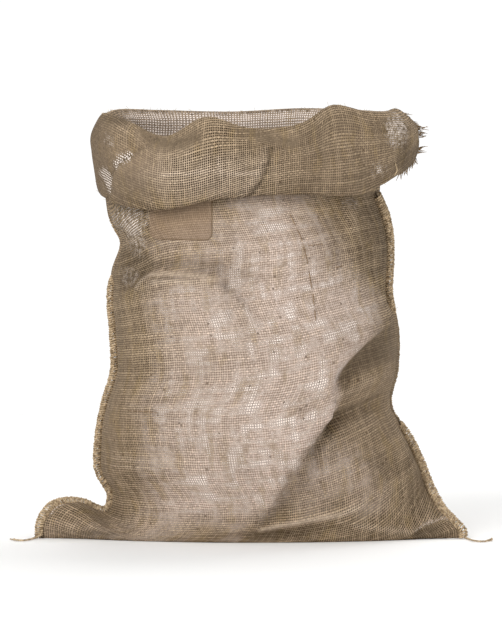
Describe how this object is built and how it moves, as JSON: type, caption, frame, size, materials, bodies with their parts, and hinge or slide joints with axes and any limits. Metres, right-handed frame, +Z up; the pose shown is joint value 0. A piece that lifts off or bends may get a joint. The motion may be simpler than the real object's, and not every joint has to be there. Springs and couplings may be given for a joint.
{
  "type": "hessian sack",
  "caption": "Open woven jute sack standing on its folded bottom, with its mouth turned out into a cuff, flat corner ears, sewn side seams and loose ends of sewing twine.",
  "frame": {"origin": "on the ground below the middle of the sack", "axes": "+Z up, +X towards the right side seam, -Y towards the front"},
  "size_m": [0.5497, 0.2771, 0.4974],
  "materials": {
    "hessian": "coarse matt weave",
    "jute_twine": "twisted matt twine"
  },
  "bodies": {
    "root": {"sack_cloth": "hessian", "twine_tail_left": "jute_twine", "twine_tail_right": "jute_twine"}
  },
  "joints": []
}
